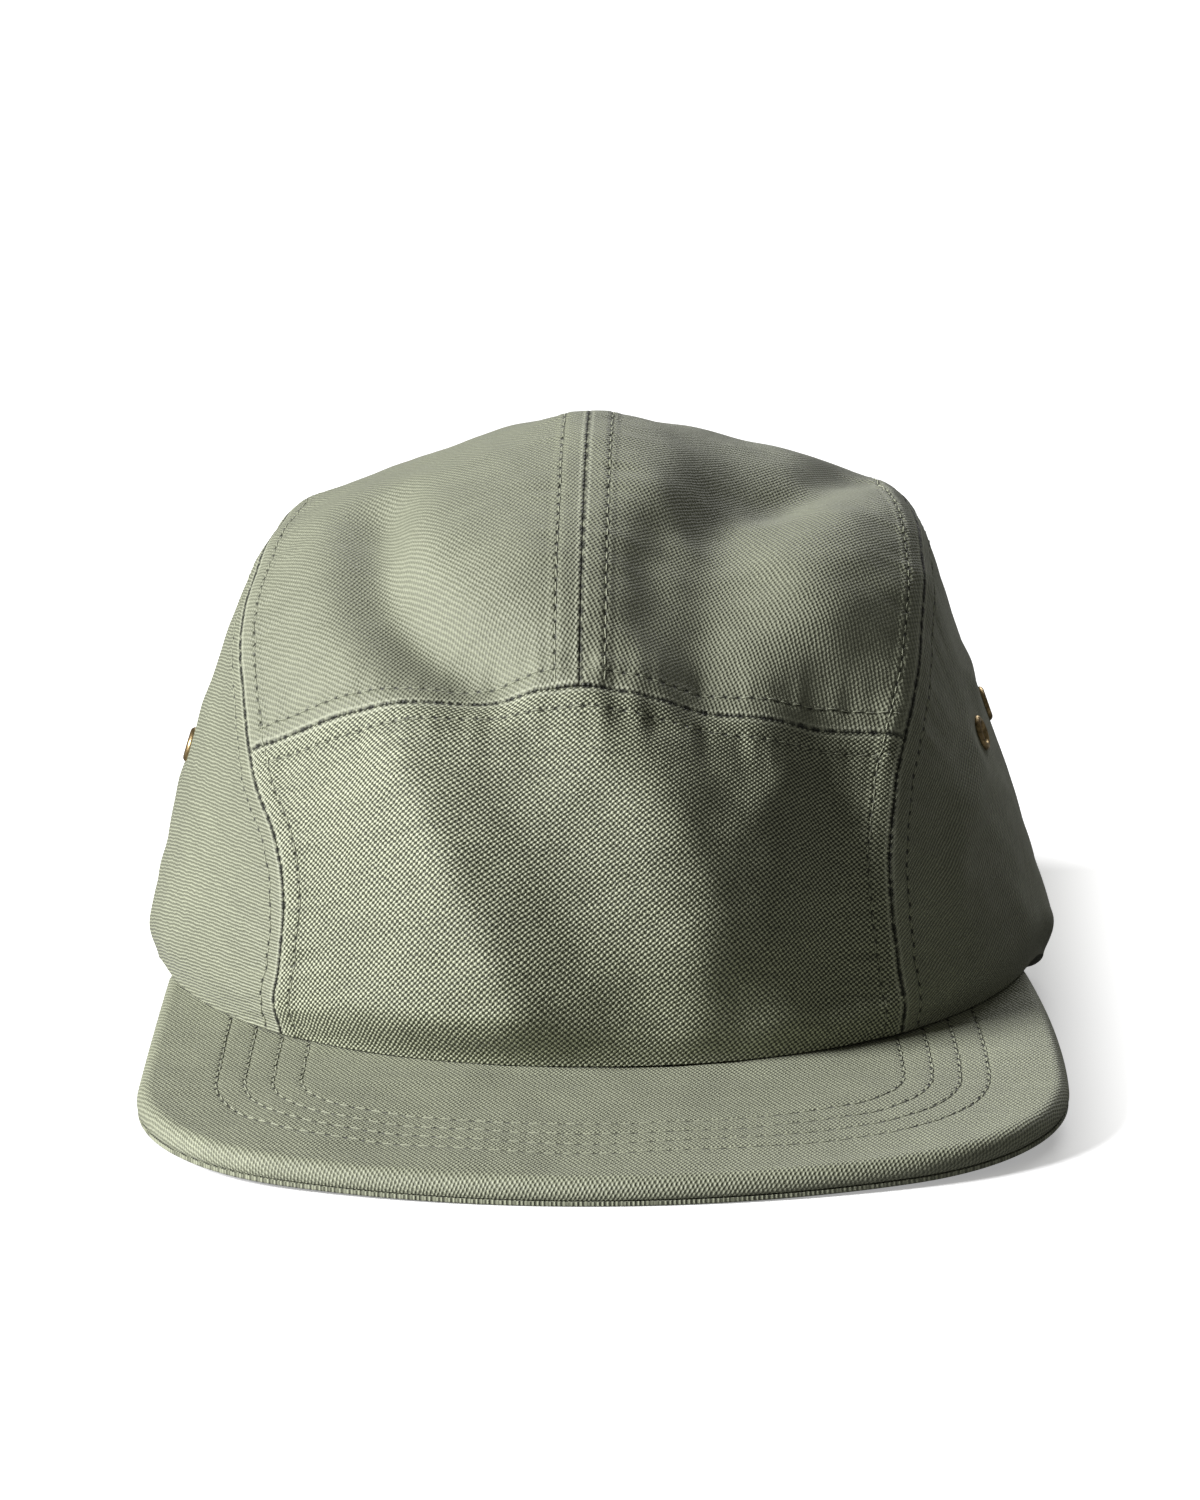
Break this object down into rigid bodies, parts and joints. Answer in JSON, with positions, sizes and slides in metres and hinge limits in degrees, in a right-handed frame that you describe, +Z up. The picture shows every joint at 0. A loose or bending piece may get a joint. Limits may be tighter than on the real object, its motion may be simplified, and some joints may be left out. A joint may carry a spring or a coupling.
{
  "type": "five-panel cap",
  "caption": "Soft cotton camp cap with a front panel, top panels, side panels, a flat stitched peak and brass vent eyelets, standing with an open head hollow.",
  "frame": {"origin": "middle of the cap's footprint, on the surface that it stands on", "axes": "+Z up through the top of the crown, -Y out over the peak to the front, +X to the right as seen from the front"},
  "size_m": [0.192, 0.2566, 0.1271],
  "materials": {
    "crown_cloth": "sage green cotton twill, matt",
    "peak_cloth": "sage green cotton twill over a stiff board, matt, with rows of topstitching",
    "brass": "aged, softly polished"
  },
  "bodies": {
    "root": {"front_panel": "crown_cloth", "top_panel_left": "crown_cloth", "top_panel_right": "crown_cloth", "side_panel_left": "crown_cloth", "side_panel_right": "crown_cloth", "peak_upper": "peak_cloth", "peak_under": "peak_cloth", "eyelet_left_front": "brass", "eyelet_left_rear": "brass", "eyelet_right_front": "brass", "eyelet_right_rear": "brass"}
  },
  "joints": []
}
